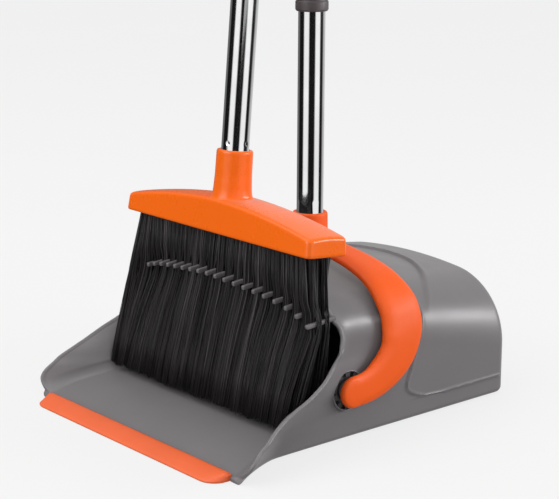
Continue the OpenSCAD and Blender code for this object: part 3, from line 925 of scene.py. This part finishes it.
def grip(name, z0, z1, zt, body, node_name, M=IDENT):
    p = [(0, zt), (12.55, zt), (12.55, z0, 0.2), (13.6, z0, 0.5), (14.8, z0 + 2, 1), (14.8, z0 + 10, 0.8), (13.8, z0 + 12, 0.8)]
    for i in range(1, 15):
        z = lerp(z0 + 14, z1 - 36, i / 15)
        r = lerp(13.9, 13.4, sin(pi * i / 15))
        p += [(r, z - 1.0, 0.4), (r - 0.55, z - 0.5, 0.3), (r - 0.55, z + 0.5, 0.3), (r, z + 1.0, 0.4)]
    p += [(14.3, z1 - 26, 6), (14.6, z1 - 16, 6), (13.8, z1 - 8, 4), (11.6, z1 - 3, 3), (8, z1 - 0.6, 2), (0, z1)]
    verts, faces = lathe(fillet(p, 0, 4), 96)
    out = []
    for x, y, z in verts:
        w = sst(z, z1 - 32, z1 - 26)
        r = hypot(x, y)
        if w > 0 and r > 1 and z > z0 + 14:
            ly = 9.5 * (1 - 0.10 * ((z - z1 + 15) / 15) ** 2 if z > z1 - 15 else 1)
            ny = (abs(y) ** -5 + ly ** -5) ** (-1 / 5) if abs(y) > 0.3 else abs(y)
            y = (1 if y > 0 else -1) * lerp(abs(y), min(abs(y), ny), w)
        out.append((x, y, z))
    ob = build("grip", out, faces, None, None, None, sharp=0)
    H = Matrix.Translation((0, 0, z1 - 15)) @ Matrix.Rotation(pi / 2, 4, "X")
    v, f = lathe([(0, -30), (7.5, -30), (7.5, -9.3), (5, -7.4), (5, 7.4), (7.5, 9.3), (7.5, 30), (0, 30)], 64, H)
    cut(ob, build("tool", v, f, None, None, None, sharp=0))
    if M is not IDENT:
        T = Matrix(M)
        T.translation = T.translation * MM
        ob.data.transform(T)
    smooth_all(ob, 38)
    ob.name = name
    ob.data.materials.append(DARK)
    finish_piece(ob, body, [node_name])


grip("hand_grip_pan", 825, 950, 912, "handle", "pan_grip")
grip("hand_grip_broom", 1195, 1320, 1276, "broom", "broom_top_grip", BROOM)

mid = [(12.55, 945, 0.2), (14, 945, 0.5), (15, 947, 0.8), (15, 955, 0.6), (14.2, 957, 0.4)]
for i in range(12):
    z = lerp(961, 1054, i / 11)
    mid += [(14.2, z - 2.2, 0.5), (14.75, z - 1.3, 0.5), (14.75, z + 1.3, 0.5), (14.2, z + 2.2, 0.5)]
mid += [(14.2, 1058, 0.4), (15, 1060, 0.6), (15, 1068, 0.8), (14, 1070, 0.5), (12.55, 1070, 0.2), (12.55, 1001.45), (6, 1001.45), (6, 998.55), (12.55, 998.55)]
build("sleeve_grip_broom", *lathe(fillet(mid, 0, 3), 96, BROOM), DARK, "broom", "dark_grey", ["broom_mid_grip"], sharp=35)


# ---------------------------------------------------------------- pole clip
def box_part(x0, x1, y0, y1, z0, z1, M=IDENT):
    v = [tuple(M @ Vector((x, y, z))) for z in (z0, z1) for x, y in ((x0, y0), (x1, y0), (x1, y1), (x0, y1))]
    return v, [[3, 2, 1, 0], [4, 5, 6, 7]] + [[k, (k + 1) % 4, 4 + (k + 1) % 4, 4 + k] for k in range(4)]


def clip_piece():
    by = -(95.5 - (705 - 180) * tan(LEAN_B))
    scz = 155 + (705 - 180) / cos(LEAN_B)
    ring = fillet([(0, 680), (17, 680), (17, 730), (0, 730)], 1.6, 4)
    parts = [lathe(ring, 72)]
    jaw = build("jaw", *lathe([(0, scz - 40), (17, scz - 40), (17, scz + 40), (0, scz + 40)], 72, BROOM), None, None, None, sharp=0)
    arms = build("arms", *box_part(-17, 17, -13.2, 0, scz - 40, scz + 40, BROOM), None, None, None, sharp=0)
    cut(jaw, arms, "UNION")
    cut(jaw, build("t", *box_part(-60, 60, -110, 0, 680, 730), None, None, None, sharp=0), "INTERSECT")
    me = jaw.data
    parts.append(([tuple(v.co / MM) for v in me.vertices], [list(p.vertices) for p in me.polygons]))
    bpy.data.objects.remove(jaw)
    parts.append(box_part(-9, 9, by, 0, 694, 716))
    # webs that thicken the bridge where it meets the two rings
    parts.append(box_part(-9, 9, -21, 0, 682, 728))
    parts.append(box_part(-9, 9, by - 2, by + 21, 682, 728))
    # raised finger ribs on the outside of the pole ring
    for k in range(5):
        parts.append(lathe(fillet([(15, 692 + 6.4 * k), (17.7, 692.6 + 6.4 * k), (17.7, 694.6 + 6.4 * k), (15, 695.2 + 6.4 * k)], 0.6, 3), 72))
    ob = build("clip_body", *join(parts), None, None, None, sharp=0)
    modify(ob, "REMESH", mode="VOXEL", voxel_size=0.0006)
    modify(ob, "SMOOTH", factor=0.5, iterations=7)
    cut(ob, build("t", *lathe(fillet([(0, 670), (14.4, 670), (14.4, 679), (12.6, 681.4, 0.6), (12.6, 728.6, 0.6), (14.4, 731), (14.4, 740), (0, 740)], 0, 3), 96), None, None, None, sharp=0))
    cut(ob, build("t", *lathe([(0, scz - 60), (12.6, scz - 60), (12.6, scz + 60), (0, scz + 60)], 96, BROOM), None, None, None, sharp=0))
    cut(ob, build("t", *box_part(-12.6, 12.6, -60, 0, scz - 60, scz + 60, BROOM), None, None, None, sharp=0))
    smooth_all(ob, 42)
    ob.data.materials.append(ORANGE)
    finish_piece(ob, "clip", ["pole_clip"])


clip_piece()


# ---------------------------------------------------------------- brush block
BS = 152


def arc_top(x):
    return lerp(32, 17, min(1.0, abs(x) / 131) ** 1.8)


def outline(hx, hy_, r, n=10, nx=64, ny_=10):
    r = max(r, 0.3)
    pts = []
    ax, ay = hx - r, hy_ - r
    for i in range(nx):
        pts.append((lerp(-ax, ax, i / nx), -hy_))
    for i in range(n):
        a = radians(-90 + 90 * i / n)
        pts.append((ax + r * cos(a), -ay + r * sin(a)))
    for i in range(ny_):
        pts.append((hx, lerp(-ay, ay, i / ny_)))
    for i in range(n):
        a = radians(90 * i / n)
        pts.append((ax + r * cos(a), ay + r * sin(a)))
    for i in range(nx):
        pts.append((lerp(ax, -ax, i / nx), hy_))
    for i in range(n):
        a = radians(90 + 90 * i / n)
        pts.append((-ax + r * cos(a), ay + r * sin(a)))
    for i in range(ny_):
        pts.append((-hx, lerp(ay, -ay, i / ny_)))
    for i in range(n):
        a = radians(180 + 90 * i / n)
        pts.append((-ax + r * cos(a), -ay + r * sin(a)))
    return pts


def block_piece():
    HX, HY, R = 131.0, 23.2, 5.5
    z0 = BS - 6

    def top(x, y):
        return z0 + arc_top(x) - 1.5 * min(1.0, abs(y) / 21) ** 2.2

    rings = []

    def ring(ins, zfun):
        rings.append([(x, y + 1.3, zfun(x, y)) for x, y in outline(HX - ins, HY - ins, R - ins * 0.35)])

    ring(22.8, lambda x, y: z0)
    ring(12, lambda x, y: z0)
    ring(1.6, lambda x, y: z0)
    for a in (30, 60, 90):
        w = radians(a)
        ring(1.6 - 1.6 * sin(w), lambda x, y, w=w: z0 + 1.6 - 1.6 * cos(w))
    fr, draft = 2.8, 1.0
    for t in (0.15, 0.3, 0.45, 0.6, 0.75, 0.9, 1.0):
        ring(draft * t, lambda x, y, t=t: lerp(z0 + 1.6, top(x, y) - fr, t))
    for a in (15, 30, 45, 60, 75, 90):
        w = radians(a)
        ring(draft + fr * (1 - cos(w)), lambda x, y, w=w: top(x, y) - fr + fr * sin(w))
    for ins in (6, 8, 10.5, 13, 15.5, 18, 20.5, 22.8):
        ring(ins, top)
    n = len(rings[0])
    verts = [p for r in rings for p in r]
    faces = []
    for i in range(len(rings) - 1):
        for k in range(n):
            k2 = (k + 1) % n
            faces.append([i * n + k, i * n + k2, (i + 1) * n + k2, (i + 1) * n + k])
    faces.append(list(reversed(range(n))))
    faces.append([(len(rings) - 1) * n + k for k in range(n)])
    sock = fillet([(0, BS), (17.8, BS, 0), (17.8, BS + 24, 1), (18.9, BS + 25.2, 1), (18.1, BS + 28, 2), (17.4, BS + 33, 6), (16.7, BS + 46, 8), (16.5, 219.0, 0.9), (15.7, 220.4, 0.5), (0, 220.4)], 0, 4)
    ob = build("block_body", *join([(verts, faces), lathe(sock, 96)]), None, None, None, sharp=0)
    modify(ob, "REMESH", mode="VOXEL", voxel_size=0.0008)
    modify(ob, "SMOOTH", factor=0.5, iterations=9)
    v, f = lathe([(0, 164), (12.58, 164), (12.58, 219.2), (13.4, 220.1), (13.4, 230), (0, 230)], 96)
    cut(ob, build("tool", v, f, None, None, None, sharp=0))
    T = Matrix(BROOM)
    T.translation = T.translation * MM
    ob.data.transform(T)
    smooth_all(ob, 42)
    ob.data.materials.append(ORANGE)
    finish_piece(ob, "broom", ["broom_block"])


block_piece()


# ---------------------------------------------------------------- bristles
RB = np.array(BROOM.to_3x3())
TB = np.array(BROOM.translation)


def half_room(y, z):
    """Half width free for a fibre at local y, z between the pan's side walls."""
    wz = RB[2, 1] * y + RB[2, 2] * z + TB[2]
    wyy = RB[1, 1] * y + RB[1, 2] * z + TB[1]
    if wz > 118 or wyy < RIM(wz) - 3:
        return 130.0
    return xs(wyy, max(wz, 6.0), WALL) - 1.1


BINV = BROOM.inverted()
TEETH = [BINV @ Vector((x, y, z - 2.3)) for x, y, z in TIPS]
T_Y = Tab([(t.x, t.y) for t in TEETH])
T_Z = Tab([(t.x, t.z) for t in TEETH])


def fibres(name, rows, per, width, hides):
    """Tufts of fibres that fan from the block to ragged tips, and part round the comb's teeth."""
    NROW, NT = 5, 38
    verts, faces, tone_and_sheen = [], [], []
    for r in rows:
        q = r / (NROW - 1)
        for t in range(NT):
            cx = lerp(-117.2, 117.2, (t + 0.5 + (0.25 if r % 2 else -0.25)) / NT)
            cy0 = lerp(-11.5, 17.5, q)
            lean_x, lean_y = rng.gauss(0, 0.4), rng.gauss(0, 0.5)
            shade = rng.random()
            cut_z = rng.gauss(0, 0.8)
            for k in range(per):
                a, rr = rng.random() * 2 * pi, sqrt(rng.random())
                x0 = cx + 2.6 * rr * cos(a)
                y0 = cy0 + 2.2 * rr * sin(a)
                x1 = (x0 + rng.gauss(0, 1.6) + 2.0 * rr * cos(a)) * 126.4 / 119.5 + lean_x
                y1 = clamp(lerp(-30.6, 16.5, q) + lean_y + 4.4 * rr * sin(a) + rng.gauss(0, 1.0), -33.4, 19.0)
                ztip = max(cut_z + rng.gauss(0, 1.0) + (2.5 if rng.random() < 0.04 else 0) - 1.2 * abs(q - 0.4), -3.2)
                bow, bowy = rng.gauss(0, 0.35), rng.gauss(0, 0.4)
                base = len(verts)
                w = width * rng.uniform(0.8, 1.2)
                spin = rng.random() * 2 * pi
                tn = clamp(0.28 * shade + rng.gauss(0.2, 0.24), 0, 1)
                # about one fibre in twelve is set light grey: painted highlight streaks, not lighter fibres
                if rng.random() < 0.08:
                    tn = rng.uniform(0.75, 1.0)
                ax = min(abs(x0) * 1.02, 123.0)
                zt, yt = T_Z(ax), T_Y(ax)
                st = (147.0 - zt) / 147.0
                # how far the comb holds this row of bristles back, so that its tips show in front
                hold = max(0.0, yt + 10.5 - 5.0 * sst(ax, 75, 122) - (lerp(-11.5, -30.6, st) - 2.2)) * (1 - q) ** 1.3
                hold *= 1 - sst(-x0, 94, 118)
                stations = [147.0, zt + 17, zt + 7, zt - 1, zt - 12, max(zt - 42, 46), 26, 0]
                L = len(stations)
                for i, z in enumerate(stations):
                    zz = z if i < L - 1 else ztip
                    s = clamp((147.0 - zz) / 147.0, 0, 1)
                    x = lerp(x0, x1, lerp(s, min(1.0, 2.1 * s), sst(x0, 108, 118))) + bow * sin(pi * s)
                    y = lerp(y0, y1, s) + bowy * sin(pi * s)
                    c = round(x / 12.4)
                    if i < L - 1:
                        g = exp(-((zz - zt) / (13.0 if x0 > -112 else 8.0)) ** 2)
                        if abs(c) <= 10:
                            dx = x - c * 12.4
                            sgn = 1 if dx >= 0 else -1
                            x = c * 12.4 + lerp(dx, sgn * (2.3 ** 4 + abs(dx) ** 4) ** 0.25, g)
                        y += hold * exp(-((zz - zt + 2) / (24.0 if zz > zt else 42.0)) ** 2)
                    y = min(y, lerp(18.6, 11.6, clamp(zz / 115.0, 0, 1)) if zz < 115 else lerp(11.6, 20.5, (zz - 115) / 32.0))
                    hr = half_room(y, zz)
                    x = clamp(x, -hr, hr)
                    th = w * (1.0 if i < L - 1 else 0.55) / 1.732
                    for m in range(3):
                        b = spin + 2 * pi * m / 3
                        verts.append((x + th * cos(b), y + th * sin(b), zz))
                        tone_and_sheen.append(clamp(tn * lerp(1.0, 0.85, s), 0, 1))
                for i in range(L - 1):
                    o = base + i * 3
                    for m in range(3):
                        m2 = (m + 1) % 3
                        faces.append([o + m, o + m2, o + 3 + m2, o + 3 + m])
                faces.append([base + 2, base + 1, base])
                o = base + (L - 1) * 3
                faces.append([o, o + 1, o + 2])
    me = bpy.data.meshes.new(name)
    A = (np.array(verts) @ RB.T + TB) * MM
    me.from_pydata(A.tolist(), [], faces)
    me.update()
    me.polygons.foreach_set("use_smooth", [True] * len(me.polygons))
    at = me.attributes.new("tone_and_sheen", "FLOAT", "POINT")
    at.data.foreach_set("value", np.array(tone_and_sheen, np.float32))
    bm = bmesh.new()
    bm.from_mesh(me)
    bmesh.ops.recalc_face_normals(bm, faces=bm.faces)
    bm.to_mesh(me)
    bm.free()
    ob = bpy.data.objects.new(name, me)
    scene.collection.objects.link(ob)
    me.materials.append(FIBRE)
    finish_piece(ob, "broom", hides)
    return ob


soft = [fibres("bristles_front", (0,), 114, 0.72, ["bristles"]), fibres("bristles_middle", (1, 2), 48, 1.0, []), fibres("bristles_back", (3, 4), 48, 1.0, [])]

for ob in soft:
    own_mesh(ob)


# ---------------------------------------------------------------- camera
az, el, roll = radians(49.4), radians(13.6), radians(0.33)
back_v = Vector((sin(az) * cos(el), -cos(az) * cos(el), sin(el)))
fwd_v = -back_v
right = fwd_v.cross(Vector((0, 0, 1))).normalized()
up = right.cross(fwd_v)
r2 = cos(roll) * right + sin(roll) * up
u2 = -sin(roll) * right + cos(roll) * up
cam_data = bpy.data.cameras.new("camera")
cam = bpy.data.objects.new("camera", cam_data)
scene.collection.objects.link(cam)
cam.matrix_world = Matrix(((r2.x, u2.x, back_v.x, 1.11339), (r2.y, u2.y, back_v.y, -0.99149), (r2.z, u2.z, back_v.z, 0.49986), (0, 0, 0, 1)))
cam_data.lens = 104.79
cam_data.sensor_width = 36
cam_data.clip_end = 50
scene.camera = cam

# ---------------------------------------------------------------- floor, world and lights
fm, nt, p = new_mat("studio_floor")
tc = node(nt, "ShaderNodeTexCoord")
nz = node(nt, "ShaderNodeTexNoise", Scale=3.0, Detail=2.0)
nt.links.new(tc.outputs["Object"], nz.inputs["Vector"])
nt.links.new(ramp(nt, nz.outputs["Fac"], [(0.3, (0.128, 0.128, 0.128)), (0.7, (0.132, 0.132, 0.132))]), p.inputs["Base Color"])
p.inputs["Emission Color"].default_value = (1, 1, 1, 1)
flp = node(nt, "ShaderNodeLightPath")
fmr = node(nt, "ShaderNodeMapRange")
fmr.inputs["To Min"].default_value = 0.12
fmr.inputs["To Max"].default_value = 0.762
nt.links.new(flp.outputs["Is Camera Ray"], fmr.inputs["Value"])
nt.links.new(fmr.outputs["Result"], p.inputs["Emission Strength"])
p.inputs["Roughness"].default_value = 0.95
p.inputs["Specular IOR Level"].default_value = 0.1
me = bpy.data.meshes.new("floor")
me.from_pydata([(-60, -60, 0), (60, -60, 0), (60, 60, 0), (-60, 60, 0)], [], [[0, 1, 2, 3]])
me.materials.append(fm)
floor = bpy.data.objects.new("floor", me)
scene.collection.objects.link(floor)
floor.location.z = -0.0002
floor.visible_glossy = False
floor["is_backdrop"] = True

world = bpy.data.worlds.new("studio")
scene.world = world
world.use_nodes = True
nt = world.node_tree
nt.nodes.clear()
out = nt.nodes.new("ShaderNodeOutputWorld")
tc = nt.nodes.new("ShaderNodeTexCoord")
sep = nt.nodes.new("ShaderNodeSeparateXYZ")
nt.links.new(tc.outputs["Generated"], sep.inputs[0])
at2 = nt.nodes.new("ShaderNodeMath")
at2.operation = "ARCTAN2"
nt.links.new(sep.outputs["X"], at2.inputs[0])
neg = nt.nodes.new("ShaderNodeMath")
neg.operation = "MULTIPLY"
neg.inputs[1].default_value = -1
nt.links.new(sep.outputs["Y"], neg.inputs[0])
nt.links.new(neg.outputs[0], at2.inputs[1])
# direction's azimuth, from -Y towards +X, relative to 49.4 degrees, as 0..1 over the full turn
rel = nt.nodes.new("ShaderNodeMath")
rel.operation = "MULTIPLY_ADD"
rel.inputs[1].default_value = 1 / (2 * pi)
rel.inputs[2].default_value = 0.5 - 49.4 / 360 + 1
nt.links.new(at2.outputs[0], rel.inputs[0])
wrap = nt.nodes.new("ShaderNodeMath")
wrap.operation = "FRACT"
nt.links.new(rel.outputs[0], wrap.inputs[0])
band = nt.nodes.new("ShaderNodeValToRGB")
el_ = band.color_ramp.elements


def at_deg(d):
    return d / 360 + 0.5


stops = [(-180, 0.2), (-126, 0.16), (-112, 0.008), (-72, 0.008), (-62, 1.0), (-27, 1.0), (-18, 0.008), (27, 0.008), (37, 1.0), (71, 1.0), (80, 0.008), (104, 0.008), (122, 0.5), (179.9, 0.75)]
el_[0].position, el_[0].color = 0.0, (stops[0][1],) * 3 + (1,)
el_[1].position, el_[1].color = 1.0, (stops[-1][1],) * 3 + (1,)
for d, v in stops[1:-1]:
    e = el_.new(at_deg(d))
    e.color = (v, v, v, 1)
nt.links.new(wrap.outputs[0], band.inputs["Fac"])
# steep rays see a plain pale dome
steep = nt.nodes.new("ShaderNodeMapRange")
steep.inputs["From Min"].default_value = 0.6
steep.inputs["From Max"].default_value = 0.9
nt.links.new(sep.outputs["Z"], steep.inputs["Value"])
mixd = nt.nodes.new("ShaderNodeMix")
mixd.data_type = "RGBA"
nt.links.new(steep.outputs["Result"], mixd.inputs["Factor"])
nt.links.new(band.outputs["Color"], mixd.inputs["A"])
mixd.inputs["B"].default_value = (0.62, 0.62, 0.62, 1)
bg_g = nt.nodes.new("ShaderNodeBackground")
nt.links.new(mixd.outputs["Result"], bg_g.inputs["Color"])
bg_g.inputs["Strength"].default_value = 1.0
bg_d = nt.nodes.new("ShaderNodeBackground")
bg_d.inputs["Color"].default_value = (*lin(242, 242, 242), 1)
bg_d.inputs["Strength"].default_value = 0.8
bg_c = nt.nodes.new("ShaderNodeBackground")
bg_c.inputs["Color"].default_value = (*lin(242, 242, 242), 1)
bg_c.inputs["Strength"].default_value = 1.0
lp = nt.nodes.new("ShaderNodeLightPath")
m1 = nt.nodes.new("ShaderNodeMixShader")
nt.links.new(lp.outputs["Is Glossy Ray"], m1.inputs[0])
nt.links.new(bg_d.outputs[0], m1.inputs[1])
nt.links.new(bg_g.outputs[0], m1.inputs[2])
m2 = nt.nodes.new("ShaderNodeMixShader")
nt.links.new(lp.outputs["Is Camera Ray"], m2.inputs[0])
nt.links.new(m1.outputs[0], m2.inputs[1])
nt.links.new(bg_c.outputs[0], m2.inputs[2])
nt.links.new(m2.outputs[0], out.inputs[0])


def area(name, toward, dist, sx, sy, power, target=(0, -0.03, 0.12)):
    d = Vector(toward).normalized()
    la = bpy.data.lights.new(name, "AREA")
    la.shape = "RECTANGLE"
    la.size, la.size_y, la.energy = sx, sy, power
    ob = bpy.data.objects.new(name, la)
    scene.collection.objects.link(ob)
    ob.location = Vector(target) + d * dist
    ob.rotation_euler = d.to_track_quat("Z", "Y").to_euler()
    return ob


area("key_top", (-0.35, -0.45, 1.0), 2.6, 2.2, 2.2, 18)
area("fill_front", (-0.1, -1.0, 0.5), 3.0, 2.4, 1.6, 32)
area("side_strip", (0.62, 0.66, 0.21), 2.0, 1.3, 0.2, 21)
area("fill_right", (1.0, -0.25, 0.45), 3.0, 3.0, 2.2, 8.8)

scene.view_settings.view_transform = "Standard"
scene.view_settings.look = "None"

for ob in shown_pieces():
    if ob.name.startswith(("block_body", "yoke_body", "steel_", "joint_sleeve")):
        ob.visible_glossy = False
